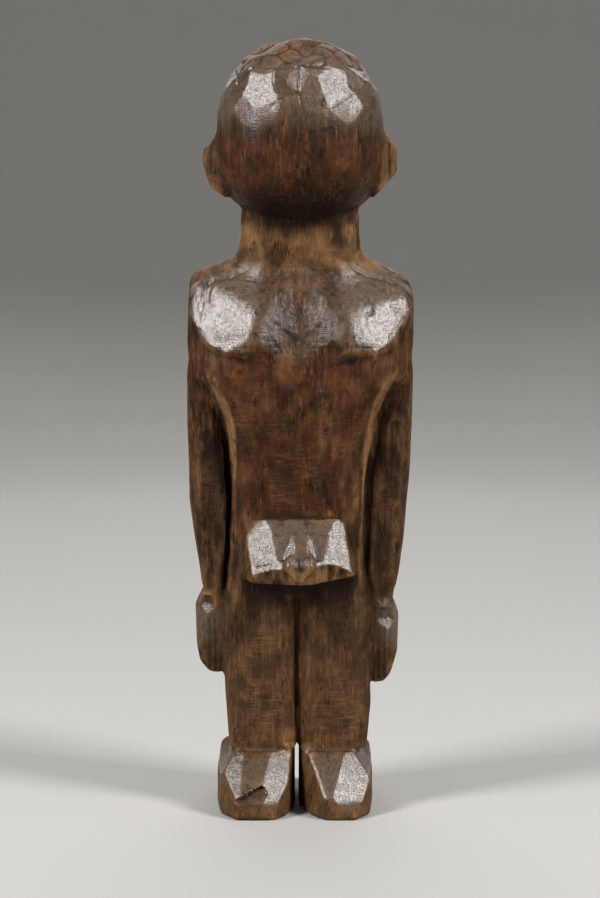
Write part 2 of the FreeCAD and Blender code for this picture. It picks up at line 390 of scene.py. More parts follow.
def joined_members():
    """The billet. The head and the trunk are rounded before the members join, and the shoulders after."""
    members = {name: node_field(node) for name, node in frame["nodes"].items()}
    part, _, _, _ = block(LEVELS["head"][0] - 5, LEVELS["head"][1] + 5)
    members["head"][part] = blurred(members["head"][part], HEAD_SOFTENING)
    part, _, _, z = block((-34, -24, 70), (34, 26, ARMPIT))
    soften(members["trunk"], part, TRUNK_SOFTENING, climb(z, 76, 5) * climb(z, ARMPIT - 3, -4))
    body = np.minimum.reduce([members.pop(name) for name in BODY])
    part, _, _, z = block((-40, -32, ROUNDED_FROM_Z - 6), (40, 32, LEVELS["neck"][1][2]))
    soften(body, part, SHOULDER_SOFTENING, climb(z, ROUNDED_FROM_Z, 24) * climb(z, LEVELS["head"][0][2], -5))
    return np.minimum.reduce([body, *members.values()])


field = joined_members()
joints = np.zeros(SHAPE, np.float32)


# Edges on the back that several members share. PANEL and SLOT give how far out each edge lies at a
# height, PANEL_Y gives how far back, and PAD_EDGE gives its height at a distance from the middle.

PANEL_LEFT = [(70, 24.0), (82, 23.6), (89, 23.0), (95, 22.3), (108, 22.0), (121, 22.3), (128, 23.2)]
PANEL_LEFT += [(134, 25.1), (139, 27.4), (144.5, 29.6), (148, 30.6)]
PANEL_RIGHT = [(70, 21.1), (82, 20.4), (89, 20.9), (95, 21.3), (108, 21.6), (121, 22.3), (131, 24.2)]
PANEL_RIGHT += [(136, 26.1), (141, 29.0), (145.5, 31.0), (148, 31.4)]
PANEL_Y = [(70, 13.0), (82, 13.0), (96, 13.2), (114, 15.5), (128, 18.4), (139, 20.8), (148, 21.2)]
SLOT_LEFT = [(38, 24.9), (71, 24.8), (81, 24.2), (88, 23.7), (101, 23.1), (114, 23.6), (121, 24.6)]
SLOT_LEFT += [(128, 25.4), (137, 28.6), (148, 31.4)]
SLOT_RIGHT = [(36, 23.4), (56, 22.4), (68, 22.2), (78, 21.5), (88, 21.7), (98, 21.9), (108, 22.2)]
SLOT_RIGHT += [(119, 24.4), (128, 25.8), (136, 28.6), (148, 31.6)]
PAD_EDGE = [(0, 146.0), (5, 146.8), (12, 149.6), (20, 151.0), (27, 152.6), (30.5, 154.4)]
PAD_EDGE += [(33, 158.0), (35, 163.5), (36.4, 168.5), (38, 172.0)]


# Head

# Knife flats that show from behind: x, z, how far each faces left and up, and its depth
HEAD_FLATS = [
    (12.8, 231.6, 0.44, 0.31, 0.85),
    (4.6, 234.0, 0.1, 0.36, 0.65),
    (-4.6, 229.6, -0.12, 0.25, 0.6),
    (-11.4, 232.0, -0.42, 0.33, 0.85),
    (-14.4, 225.2, -0.5, 0.22, 0.55),
    (-19.0, 232.5, -0.7, 0.34, 0.5),
    (17.8, 224.6, 0.6, 0.14, 0.4),
    (12.6, 223.6, 0.38, 0.1, 0.25),
    (20.4, 233.0, 0.76, 0.34, 0.5),
]
CROWN_Z = 240.0
CROWN_DENTS = [(7.0, 3, 1.0, 4.0), (-5.5, 6, 0.8, 3.5), (-12, 0, 0.6, 4.0)]  # x, y, depth and radius
CROWN_RADII = np.array([27.5, 27.5, 29.5])
SKULL_FLATS = 150
COBBLES = 84


def carve_skull():
    """Broad flats behind and many small ones over the top and front."""
    for x, z, turn, tilt, depth in HEAD_FLATS:
        point, _ = behind(x, z)
        flat(point, facing(turn, tilt), reach=8.0, depth=depth, most=2.0)
    for k in range(SKULL_FLATS):
        lift = math.asin(1 - 0.9 * (k + 0.5) / SKULL_FLATS)
        way = way_out(lift, k * GOLDEN_ANGLE + jitter(0.12))
        is_back = way[1] > 0.15 and way[2] < 0.55
        is_face = way[1] < -0.2 and way[2] < 0.35
        if is_back or is_face:
            continue
        point, normal = touch(HEAD_CENTRE + 60 * way, -way)
        normal = normal + jitter(0.08, 3)
        run_out = 0.3 if way[2] > 0.35 else 0.7
        flat(point, normal, reach=5.0, depth=rng.uniform(0.18, 0.42), run_out=run_out)


def carve_crown():
    """The crown is cut in small cells like cobbles, with narrow joints between them."""
    part, x, y, z = block((-30, -28, CROWN_Z - 6), (30, 28, TOP + 2))
    nearest = np.full(field[part].shape, 1e3, np.float32)
    second = nearest.copy()
    lift = np.zeros_like(nearest)
    second_lift = np.zeros_like(nearest)
    for k in range(COBBLES):
        bearing = k * GOLDEN_ANGLE + jitter(0.2)
        slope = math.asin(1 - 0.62 * (k + 0.5) / COBBLES) + jitter(0.07)
        seed = HEAD_CENTRE + way_out(slope, bearing) * CROWN_RADII
        rise = rng.uniform(0.0, 0.22) if seed[2] > CROWN_Z + rng.uniform(-0.8, 2.2) else -1.0
        away = np.sqrt(0.8 * (x - seed[0]) ** 2 + (y - seed[1]) ** 2 + 1.5 * (z - seed[2]) ** 2)
        is_second = away < second
        is_first = away < nearest
        second = np.where(is_first, nearest, np.where(is_second, away, second))
        second_lift = np.where(is_first, lift, np.where(is_second, rise, second_lift))
        nearest = np.minimum(nearest, away)
        lift = np.where(is_first, rise, lift)
    is_cobbled = (lift >= 0) | (second_lift >= 0)
    joint = np.where(is_cobbled, np.exp(-(((second - nearest) / 0.7) ** 2)), 0)
    on_top = climb(y, -20, 3)
    field[part] += on_top * (0.24 * joint)
    np.maximum(joints[part], on_top * (0.9 * joint), out=joints[part])
    field[part] += on_top * np.where(lift >= 0, 0.05 * nearest - lift * (1 - joint), 0)
    for x, y, depth, radius in CROWN_DENTS:
        point, normal = touch((x, y, TOP + 5), (0, 0, -1))
        scoop(point, normal, depth, radius)


def carve_head_joints():
    """Fine knife lines between the broad flats on the back of the head."""
    lines = [
        [(0.0, 246.5), (0.3, 242.6), (-0.2, 239.0), (0.3, 235.0), (0.4, 231.0)],
        [(21.0, 239.6), (13.6, 239.9), (7.5, 239.2), (0.0, 239.8), (-5.6, 239.4)],
        [(-6.6, 239.5), (-13.2, 239.2), (-19.0, 239.6)],
        [(9.2, 226.8), (4.5, 230.2), (0.4, 232.0)],
        [(-9.8, 220.2), (-6.0, 219.0), (-2.6, 219.0), (-1.4, 224.0), (0.4, 231.0)],
        [(-13.0, 233.4), (-17.6, 229.2)],
        [(-10.6, 226.2), (-17.2, 231.0)],
    ]
    for line in lines:
        groove(path_behind(*line), 1.0, 0.22)


# Knife cuts under the ears: side, a point as distance from the middle and height, and the way each faces
EAR_CUTS = [
    (1, (26.6, 201.3), (0.58, -0.81)),
    (1, (29.9, 205.0), (0.95, -0.31)),
    (-1, (27.0, 202.9), (0.74, -0.67)),
]


def carve_ears():
    """Each ear has an upright furrow down its back, a hollow in front and a lobe cut off at a slant."""
    for side in (1, -1):
        mound((side * 25.6, 1.5, 203.0), (4.5, 6.0, 6.0), 2.4)
    for side, (out, z), (turn, tilt) in EAR_CUTS:
        low_x, high_x = sorted((side * 23.0, side * 34.0))
        slab((low_x, -14, 198), (high_x, 14, 212), (side * out, 0, z), (side * turn, 0, tilt))
    for side in (1, -1):
        back = [touch((side * 28.9, 20, z), (0, -1, 0))[0] for z in (216.6, 213.0, 207.4)]
        groove(back, 1.5, 0.8)
        point, _ = touch((side * 29.4, -20, 212), (0, 1, 0))
        scoop(point, (side * 0.2, -1, 0), 1.4, 4.5)


def carve_face():
    """A calm, plain face: closed eyes under a brow, a straight nose, closed lips and a small chin."""
    for side in (1, -1):
        socket, _ = in_front(side * 9.8, 213.0)
        scoop(socket, (side * 0.15, -0.98, -0.12), 2.8, 8.0)
        eye, _ = in_front(side * 9.8, 212.0)
        mound(eye, (6.4, 4.5, 4.2), 2.4)
        groove(path_in_front(side, (4.8, 211.2), (7.4, 210.2), (12.2, 210.2), (14.8, 211.0)), 1.7, 1.3)
        groove(path_in_front(side, (3.6, 218.2), (8.0, 220.2), (13.6, 219.4), (16.8, 217.0)), 1.6, 0.8)
        cheek, _ = in_front(side * 7.6, 203.6)
        scoop(cheek, (side * 0.25, -0.96, 0.05), 1.2, 9)
        groove(path_in_front(side, (2.4, 205.6), (4.2, 206.0), (4.9, 208.6)), 1.5, 1.0)
    bridge, _ = in_front(0, 211.0)
    mound(bridge, (3.4, 5.0, 9.0), 1.2)
    mouth, _ = in_front(0, 200.6)
    mound(mouth, (8.0, 4.5, 4.0), 2.2)
    groove(path_in_front(1, (-5.6, 200.0), (-2.2, 200.9), (0, 200.4), (2.2, 200.9), (5.6, 200.0)), 1.7, 1.4)
    under, _ = in_front(0, 196.8)
    scoop(under, (0, -1, -0.1), 0.8, 6)
    chin, _ = in_front(0, 194.0)
    mound(chin, (6, 4, 3), 1.0)


# Shoulders and neck

ARM_BACK_Y = 11.6
# Knife flats on the pads: x, z, how far each faces left and up, its depth and its reach
PAD_FLATS = [
    (23.0, 165.0, 0.4, 0.36, 1.0, 10.0),
    (-26.0, 158.5, -0.42, 0.33, 0.5, 7.0),
]


def carve_shoulders():
    """Knife flats and a dent on the pads, a softer chest, and the edge where the pads end behind."""
    for x, z, turn, tilt, depth, reach in PAD_FLATS:
        point, _ = behind(x, z)
        flat(point, facing(turn, tilt), reach=reach, depth=depth, most=depth + 1.5, run_out=0.3)
    part, _, _, z = block((-40, 8, 146), (40, 30, 184))
    soften(field, part, 1.8, climb(z, 148, 3) * climb(z, 182, -3))
    point, normal = behind(-22.3, 162.6)
    scoop(point, normal, 0.3, 7)
    part, _, y, z = block((-40, -24, 132), (40, 4, 168))
    soften(field, part, 4.0, climb(z, 134, 8) * climb(z, 166, -8) * climb(y, 2, -8))
    part, x, y, z = block((-38, 5, 122), (38, 30, 178))
    edge = along(np.abs(AXES[0]), PAD_EDGE)[part[0]][:, None, None]
    lean = 0.9 * np.maximum(np.abs(x) - 24, 0) * climb(z, 126, 16)
    floor = np.maximum(upright(PANEL_Y, part) - lean, ARM_BACK_Y)
    below = (edge - z) * 0.6 + 0.8 * (y - floor - 2.8)
    cut_away(part, np.minimum(below, y - floor))


def carve_neck():
    """A few upright flats round the neck."""
    for bearing in range(10, 360, 36):
        point, normal, _ = from_bearing(math.radians(bearing + jitter(6)), 187.5)
        flat(point, (normal[0], normal[1], 0), reach=2.5, depth=0.2, most=0.3)


# Trunk


def bevel(edge, width, side):
    """A narrow flat down one back edge of the trunk."""
    part, x, y, z = block((-34, 0, 66), (34, 24, ARMPIT + 1))
    line = upright(edge, part)
    panel = upright(PANEL_Y, part)
    cut = ((side * x - line) * 0.74 + (y - panel) * 0.67) + width * 0.7
    beyond = np.maximum(np.abs(z - 108) - 38, 0)
    cut = np.minimum(cut - 0.3 * beyond, line + 1.3 - side * x)
    cut = np.minimum(cut, panel + 1.0 - y)
    cut_away(part, np.where(side * x > 0, cut, -BAND))


# How far back the wood reaches at the bottom of the cut beside each arm, along z
WEB_LEFT_Y = [(70, 6.5), (84, 5.0), (110, 4.5), (120, 7.0), (130, 10.0), (140, 15.0), (148, 20.0)]
WEB_RIGHT_Y = [(70, 9.0), (84, 8.0), (104, 8.2), (120, 8.8), (131, 10.0), (138, 13.0)]
WEB_RIGHT_Y += [(144, 17.5), (148, 20.0)]
WEB_FRONT_Y = -8.5
WEB_LOW_Z = 65.5
WEB_HALF = 3.6
# The cut beside each arm: its line, the side of the doll, half its width, its web and its lowest point
SLOTS = [(SLOT_LEFT, 1, 0.45, WEB_LEFT_Y, 74), (SLOT_RIGHT, -1, 1.0, WEB_RIGHT_Y, 72)]
SLOT_TOP_Z = 146


def slot_opening(y, rise, half_width):
    """Half the width of the cut at y, which is narrowest at the bottom."""
    return half_width + 0.1 * np.maximum(y - rise, 0)


def fill_slot(slot, side, half_width, floor):
    """The web of wood that joins an arm to the trunk, behind which the cut beside the arm stops."""
    part, x, y, z = block((-38, WEB_FRONT_Y - 3, 62), (38, 26, ARMPIT))
    line = upright(slot, part)
    rise = upright(floor, part)
    fall = 0.9 * np.maximum(side * x - line, 0)
    apart = np.abs(side * x - line)
    web = np.maximum(apart - WEB_HALF, y - np.maximum(rise - fall, 4.0) - 0.3)
    flank = np.maximum(apart - WEB_HALF, y - 9.3 - 0.3 * apart)
    flank = np.maximum(flank, slot_opening(y, rise, half_width) - apart)
    web = np.maximum(np.minimum(web, flank), WEB_FRONT_Y - y)
    web = np.maximum(web, WEB_LOW_Z - z)
    np.minimum(field[part], web, out=field[part])


def seat_low(x):
    """The bottom edge of the buttocks, which rises to the doll's right."""
    return SEAT_LOW_Z + 0.17 * np.maximum(-x - 4, 0)


def fill_seat():
    """The block the buttocks are cut from: a slope above, and end grain below its lip."""
    part, x, y, z = block((-20, 11, 70), (20, 28, 98))
    slope = unit((0, 14.8, 9.5))
    solid = slope[1] * (y - 25.0) + slope[2] * (z - 81.0)
    solid = np.maximum(solid, np.maximum(np.abs(x + 0.2) - 18.1, y - 25.2))
    solid = np.maximum(solid, np.maximum(13 - y, np.maximum(seat_low(x) - z, z - BUTTOCK_TOP)))
    for point, normal in SEAT_FLATS:
        solid = np.maximum(solid, outside(point, unit(normal), x, y, z))
    np.minimum(field[part], solid, out=field[part])


def recess(slot, side, half_width, floor, low):
    """The deep rough cut between an arm and the trunk, which stops at a web of wood."""
    part, x, y, z = block((-38, 2, low - 4), (38, 26, SLOT_TOP_Z + 4))
    line = upright(slot, part)
    rise = upright(floor, part)
    taper = climb(z, low, 12) * climb(z, SLOT_TOP_Z, -14)
    cut = slot_opening(y, rise, half_width) * taper - np.abs(side * x - line)
    cut_away(part, np.minimum(cut, y - rise))


def carve_trunk():
    """Bevels, the two deep cuts beside the arms, faint scoops on the back, and a navel."""
    bevel(PANEL_LEFT, 2.4, 1)
    bevel(PANEL_RIGHT, 2.2, -1)
    for slot in SLOTS:
        recess(*slot)
    scatter_scoops((-12, -4, 5, 13), range(102, 146, 8), (2, 3), 0.16, 40)
    navel, _ = in_front(0.5, 104)
    mound(navel, (4.2, 5, 4.2), 1.6)


# Buttocks

BUTTOCK_TOP = 95.9
SEAT_LIP = [(-18.4, 77.6), (-15.5, 79.0), (-12.8, 80.5), (-9.6, 81.4), (-6.5, 81.0), (-4.2, 80.0)]
SEAT_LIP += [(-2.6, 78.5), (-0.6, 75.4), (0.8, 75.4), (2.6, 78.0), (5.1, 80.1), (9.6, 79.5)]
SEAT_LIP += [(13.0, 78.4), (16.0, 77.0), (18.2, 76.0)]
# Flats on the buttocks: a point on each and its outward normal
SEAT_FLATS = [
    ((6.7, 21.3, 87.0), (0.39, 0.845, 0.365)),
    ((-7.2, 21.3, 87.0), (-0.39, 0.845, 0.365)),
    ((16.8, 17.2, 87.0), (0.9, 0.42, 0.05)),
    ((-16.1, 21.8, 78.8), (-0.86, 0.38, 0.27)),
]
SEAT_LOW_Z = 75.2
# Edges of the low crest between the buttocks, along z
CREST_LEFT = [(75, 2.0), (77.5, 2.5), (80, 4.6), (82.5, 5.0), (86, 4.0), (89, 2.4), (94, 1.5)]
CREST_RIGHT = [(75, -1.6), (77.5, -2.6), (80, -4.3), (83, -4.8), (86, -3.7), (89, -2.9), (94, -2.0)]


def cut_end_grain():
    """Upright end-grain faces under the two arched edges, which meet in a point in the middle."""
    part, x, y, z = block((-20, 14, 70), (20, 28, 84))
    lip = read(SEAT_LIP, x)
    edge_y = np.minimum(25.2, 25.0 - 0.642 * (lip - 81.0))
    for point, normal in SEAT_FLATS[:2]:
        n = unit(normal)
        edge_y = np.minimum(edge_y, point[1] - (n[0] * (x - point[0]) + n[2] * (lip - point[2])) / n[1])
    face = y - (edge_y - 0.3 - 0.22 * (lip - z))
    cut_away(part, np.minimum(lip - z, face))
    part, x, y, z = block((-20, 13.6, 66), (20, 30, 80))
    cut_away(part, np.minimum(seat_low(x) - z, y - 13.8))


def carve_buttocks():
    """Two broad flats turned a little outwards, a low crest with two lobes, and arched lower edges."""
    for point, normal in SEAT_FLATS:
        slab((-20, 14.4, 74), (20, 30, 96), point, normal)
    flat((6.4, 21.0, 87.0), (0.06, 0.88, 0.46), reach=4.5, depth=0.3)
    flat((-7.2, 21.0, 87.0), (-0.06, 0.88, 0.46), reach=4.5, depth=0.3)
    part, x, _, z = block((-9, 14, 74), (9, 30, 95))
    from_left = upright(CREST_LEFT, part) - x
    from_right = x - upright(CREST_RIGHT, part)
    crest = ramp(from_left, -0.9, 1.2) * ramp(from_right, -0.9, 1.2) * (1 - ramp(z, 86, 94))
    field[part] -= 0.8 * crest
    for side, x, z in ((1, 3.5, 81.0), (-1, 3.4, 81.5)):
        lobe, _ = behind(side * x, z)
        mound(lobe, (2.7, 3.5, 6.0), 0.7)
    groove(path_behind((0.3, 82.5), (0.2, 80.0), (0.0, 76.5)), 2.4, 0.4, sharp=False, grime=0.0)
    cut_end_grain()
    groove(path_behind((16.6, 80.4), (12.6, 80.7), (9.4, 81.6)), 1.0, 0.35, grime=0.4)


# Arms and hands

FINGERS = 4


def carve_arms():
    """Long flats down the arms."""
    for side in (1, -1):
        for z in range(84, 146, 10):
            for start, way in (((side * 31.5, 30, z), (0, -1, 0)), ((side * 60, 2, z), (-side, 0, 0))):
                point, normal = touch(start, way)
                flat(point, normal + jitter(0.05, 3), reach=3.0, depth=0.12, most=0.3)


def carve_hand(side, low, high, inner, outer):
    """Fingers parted by shallow upright cuts, on the back and the front of a hand."""
    for way in (1, -1):
        for k in range(1, FINGERS):
            x = inner + (outer + 1.6 - inner) * k / FINGERS
            start = high - 1.5 * abs(k - 1.6)
            heights = (start, (start + low) / 2, low + 1.0)
            path = [touch((side * x, way * 30, z), (0, -way, 0))[0] for z in heights]
            groove(path, 1.3, 0.5)


def carve_hands():
    """Both hands, with a small flat at each wrist."""
    carve_hand(1, 44, 62.5, 25.6, 31.8)
    carve_hand(-1, 41, 60.0, 23.6, 29.8)
    for side, x, z in ((1, 31.0, 65.5), (-1, 28.2, 60.0)):
        point, _ = behind(side * x, z)
        flat(point, (side * 0.43, 0.84, 0.33), reach=2.5 if side > 0 else 3.5, depth=0.6, most=1.4)


# Legs and feet

LEG_BACK_Y = 15.5
TOES = 5
# Flats on the heels: a point on each and its outward normal
HEEL_FLATS = [
    ((18.8, 22.2, 14.5), (0.33, 0.7, 0.63)),
    ((9.9, 25.2, 9.6), (-0.36, 0.76, 0.54)),
    ((5.6, 24.0, 11.0), (-0.82, 0.57, 0.1)),
    ((24.2, 22.0, 9.0), (0.86, 0.5, 0.1)),
    ((-13.3, 22.0, 14.5), (-0.37, 0.76, 0.53)),
    ((-3.4, 20.0, 16.0), (0.84, 0.53, 0.12)),
    ((-6.6, 27.0, 6.0), (0.84, 0.53, 0.12)),
    ((-21.6, 22.0, 9.0), (-0.86, 0.5, 0.1)),
]


def carve_legs():
    """A groove down between the legs, behind and in front, and faint scoops in the thighs."""
    for way, floor in ((1, 10.2), (-1, 9.4)):
        part, x, y, z = block((-6, -18, 16), (8, 18, HIP))
        centre = LEG_GAP_X + 0.9 * climb(z, 36, 30) * (way > 0)
        open_out = 0.35 * np.maximum(way * y - floor, 0) ** 1.6 * climb(z, 18.5, 4)
        cut = (0.35 + open_out) - np.abs(x - centre)
        cut = np.minimum(cut, way * y - floor)
        cut_away(part, np.minimum(cut, (HIP + 1.5 - z) * 0.8))
    scatter_scoops((13.5, -11.0), range(26, 68, 9), (5, 2), 0.14, 60)


def carve_feet():
    """Heels with knife flats, a chipped edge on the left one, and toes parted in front."""
    for point, normal in HEEL_FLATS:
        low_x, high_x = (LEG_GAP_X, 32) if point[0] > 0 else (-32, LEG_GAP_X)
        front_y = 13 if abs(normal[0]) > 0.8 else LEG_BACK_Y
        slab((low_x, front_y, -2), (high_x, 32, ANKLE + 0.4), point, normal)
    part, x, y, z = block((8, 20, 4), (24, 32, 12))
    chip = outside((15, 26.7, 7.4), unit((0.06, 0.66, 0.75)), x, y, z)
    chip = np.minimum(chip, 0.8 * np.minimum(5.8 + 0.53 * (21.3 - x) - z, x - 9 - 0.7 * (z - 6)))
    cut_away(part, np.minimum(chip, z - 5.4))
    for side, middle, half in ((1, 14.5, 8.5), (-1, -12.2, 8.0)):
        for k in range(1, TOES):
            x = middle + side * half * (1 - 2 * k / TOES)
            path = [touch((x, -60, z), (0, 1, 0))[0] for z in (1.5, 4.0, 7.0, 9.5)]
            groove(path, 1.5, 0.9)


# Whole figure


def is_at_a_flat(z):
    """Whether z is at the height of the head's, the seat's or the heels' broad flats."""
    return z > 190 or 74 < z < 98 or z < 21


def whittle():
    """Small scoops all over, which leave the skin faintly faceted."""
    for z in np.arange(8, TOP - 14, 4.6):
        for bearing in np.arange(0, 360, 15.0):
            bearing = math.radians(bearing + jitter(7))
            height = z + jitter(2.2)
            point, normal, way = from_bearing(bearing, height)
            if point is None or normal @ way < 0.7 or (point[1] > 10 and is_at_a_flat(height)):
                continue
            scoop(point, normal, rng.uniform(0.03, 0.13), rng.uniform(22, 60))


def roughen():
    """Fine relief that runs with the grain, stronger in the rough cuts."""
    near = np.flatnonzero(np.abs(field.reshape(-1)) < 1.2)
    i = np.stack(np.unravel_index(near, SHAPE), axis=1)
    points = LOW + i * VOXEL
    relief = 0.035 * value_noise(points, (1.1, 1.1, 6.0), 1)
    relief = relief + 0.05 * value_noise(points, (3.5, 3.5, 14.0), 2)
    relief = relief + 0.025 * value_noise(points, (1.6, 1.6, 1.6), 3)
    x, y, z = points.T
    beside = np.abs(np.abs(x) - np.where(x > 0, read(SLOT_LEFT, z), read(SLOT_RIGHT, z)))
    rough = climb(beside, 4.2, -2.5) * climb(y, 13.5, -2) * climb(y, 0, 2) * climb(z, 72, 6)
    relief = relief * (1 + 1.2 * rough) + rough * 0.26 * value_noise(points, (0.9, 1.6, 7.0), 4)
    field.reshape(-1)[near] += relief.astype(np.float32)


def keep_inside():
    """Nothing passes the CAD model's own box."""
    for i in range(3):
        a = np.moveaxis(AXES[i][:, None, None], 0, i)
        low = CAD_BOX[0][i] / MM + BOX_INSET
        high = CAD_BOX[1][i] / MM - BOX_INSET
        np.maximum(field, np.maximum(low - a, a - high), out=field)


for slot in SLOTS:
    fill_slot(*slot[:4])
fill_seat()
field = blurred(field, SOFTENING)
carve_skull()
carve_crown()
carve_head_joints()
carve_ears()
carve_face()
carve_shoulders()
carve_neck()
carve_trunk()
carve_buttocks()
carve_arms()
carve_hands()
carve_legs()
carve_feet()
whittle()
roughen()
keep_inside()


# Skin

EAR_X = 27.7
NECK_LOW_Z = 180.2
NECK_TOP_Z = 191.8
SEAT_SHEET_Y = 13.9


def skin():
    """The field's zero surface as one mesh, in millimetres."""
    grid = openvdb.FloatGrid(BAND)
    grid.copyFromArray(np.clip(field, -BAND, BAND), ijk=FIRST_CELL)
    grid.transform = openvdb.createLinearTransform(VOXEL)
    points, quads = grid.convertToQuads(0.0)
    mesh = bpy.data.meshes.new("skin")
    mesh.from_pydata(points.tolist(), [], quads.tolist())
    return mesh


def shift(mesh, axis, level, way):
    """Moves the vertices along one axis by way times the level, a number or a function of them."""
    points = mesh_points(mesh)
    points[:, axis] += way * (level(points) if callable(level) else level)
    mesh.vertices.foreach_set("co", points.astype(np.float32).reshape(-1))
    mesh.update()


def divide(mesh, axis, level):
    """Cuts a mesh where it passes the level along an axis. Returns the low and the high part, closed."""
    shift(mesh, axis, level, -1)
    whole = bmesh.new()
    whole.from_mesh(mesh)
    normal = [0.0, 0.0, 0.0]
    normal[axis] = 1.0
    parts = []
    for is_high in (False, True):
        work = whole.copy()
        cut = bmesh.ops.bisect_plane(
            work,
            geom=work.verts[:] + work.edges[:] + work.faces[:],
            dist=1e-4,
            plane_co=(0, 0, 0),
            plane_no=normal,
            clear_outer=not is_high,
            clear_inner=is_high,
        )
        rim = [e for e in cut["geom_cut"] if isinstance(e, bmesh.types.BMEdge) and e.is_boundary]
        outward = Vector(normal) * (-1 if is_high else 1)
        bmesh.ops.triangle_fill(work, edges=rim, use_beauty=True, normal=outward)
        part = bpy.data.meshes.new(mesh.name)
        work.to_mesh(part)
        work.free()
        shift(part, axis, level, 1)
        parts.append(part)
    whole.free()
    return parts


def main_island(mesh):
    """Drops every crumb that is not joined to the largest shell of a mesh."""
    whole = bmesh.new()
    whole.from_mesh(mesh)
    unseen = set(whole.verts)
    islands = []
    while unseen:
        island = set()
        edge = {unseen.pop()}
        while edge:
            island |= edge
            edge = {e.other_vert(v) for v in edge for e in v.link_edges} - island
        unseen -= island
        islands.append(island)
    keep = max(islands, key=len)
    bmesh.ops.delete(whole, geom=[v for v in whole.verts if v not in keep], context="VERTS")
    whole.to_mesh(mesh)
    whole.free()


def line_level(stations, side):
    """A level that follows a line given along z, on one side of the doll."""
    return lambda points: side * read(stations, points[:, 2])


def seat_level(points):
    """The sheet behind the hips that the buttocks stand on, which leaves the skin above and below them."""
    above = np.maximum(points[:, 2] - 96.6, 0)
    below = np.maximum(71.5 - points[:, 2], 0)
    return SEAT_SHEET_Y + 9 * (above + below)


def neck_level(points):
    """The bottom of the neck, which passes over the tops of the shoulders."""
    return NECK_LOW_Z + 5 * ramp(np.hypot(points[:, 0], points[:, 1]), 19.5, 23)


def divide_all(mesh):
    """The skin divided into the CAD's members."""
    pieces = {}
    lower, upper = divide(mesh, 2, ARMPIT)
    pieces["shoulders"], upper = divide(upper, 2, neck_level)
    pieces["neck"], upper = divide(upper, 2, NECK_TOP_Z)
    upper, pieces["ear_left"] = divide(upper, 0, EAR_X)
    pieces["ear_right"], pieces["head"] = divide(upper, 0, -EAR_X)
    feet, lower = divide(lower, 2, ANKLE)
    pieces["foot_right"], pieces["foot_left"] = divide(feet, 0, LEG_GAP_X)
    lower, arm = divide(lower, 0, line_level(SLOT_LEFT, 1))
    pieces["hand_left"], pieces["arm_left"] = divide(arm, 2, LEVELS["arm_left"][0][2])
    arm, lower = divide(lower, 0, line_level(SLOT_RIGHT, -1))
    pieces["hand_right"], pieces["arm_right"] = divide(arm, 2, LEVELS["arm_right"][0][2])
    lower, pieces["buttocks"] = divide(lower, 1, seat_level)
    legs, pieces["trunk"] = divide(lower, 2, HIP)
    pieces["leg_right"], pieces["leg_left"] = divide(legs, 0, LEG_GAP_X)
    return pieces


# Masks that the materials read


def between(value, start, full, fade, end):
    """1 from full to fade, with an easy slope down to 0 at start and at end."""
    return ramp(value, start, full) * (1 - ramp(value, fade, end))


def mottle(points, size, seed, low, high):
    """Seeded patches from 0 to 1, of a size along x, y and z."""
    return ramp(value_noise(points, size, seed), low, high)


def heel_mask(x, z, up, wobble):
    """The tops of the heels."""
    heels = between(z, 4.5, 6.5, 19.5, 21.5) * ramp(up, 0.3, 0.45) * (1 - 0.1 * ramp(x, 0, 1))
    return heels * (1 - 0.25 * ramp(z + 3 * wobble, 12, 17))


def polish_and_sheen_mask(x, y, z, up, wobble):
    """Burnished flats on the skull, the pads, the seat, the heels and the wrists, most on the back and on
    flats that face up; they are drawn lighter grey, partly a painted sheen.
    """
    out = np.abs(x)
    head = ramp(z, 217 + 5 * wobble, 228 + 5 * wobble) * (1 - 0.7 * ramp(z, 239, 243))
    pads = ramp(z - 1.2 * np.maximum(out - 29, 0), 147, 150) * (1 - ramp(z, 172, 180)) * ramp(up, 0.02, 0.2)
    pads = pads * (0.35 + 0.65 * ramp(out, 9 + 2 * wobble, 17 + 2 * wobble))
    pads = pads * (1 - 0.8 * ramp(out + 0.6 * (z - 165), 34, 38))
    seat = ramp(y, 14.5, 16) * between(z, 75, 77, 95, 97) * ramp(up, 0.15, 0.3)
    seat = seat * (1 - 0.8 * (1 - ramp(out, 3, 4.5)) * (1 - ramp(z, 81, 85)))
    hands = ramp(z + 4 * wobble, 52, 59) * (1 - ramp(z + 3 * wobble, 65, 71)) * ramp(out + wobble, 24.5, 28)
    heels = heel_mask(x, z, up, wobble)
    polish_and_sheen = np.maximum.reduce([0.85 * head, pads, 0.9 * seat, heels, 0.6 * hands])
    # Stronger on the back and on upward flats, which face the lamps: there the grey colour is partly painted
    # sheen.
    return polish_and_sheen * (1 - 0.5 * ramp(up, 0.6, 0.9)) * (0.25 + 0.75 * ramp(y, -8, 6))


def red_mask(x, y, z, wobble, to_edge):
    """Redder wood on the back of the trunk, the upper arms and the nape."""
    panel = ramp(y, 11.2, 12.6) * between(z, 92, 99, 147, 152) * ramp(to_edge + 1.2 * wobble, 0.5, 3.0)
    arms = between(z, 122, 138, 150, 156) * ramp(np.abs(x), 30, 33) * ramp(y, 6, 9)
    nape = ramp(y, 0, 8) * between(z, 198, 206, 212, 222)
    return np.maximum.reduce([panel, nape, 0.7 * arms])


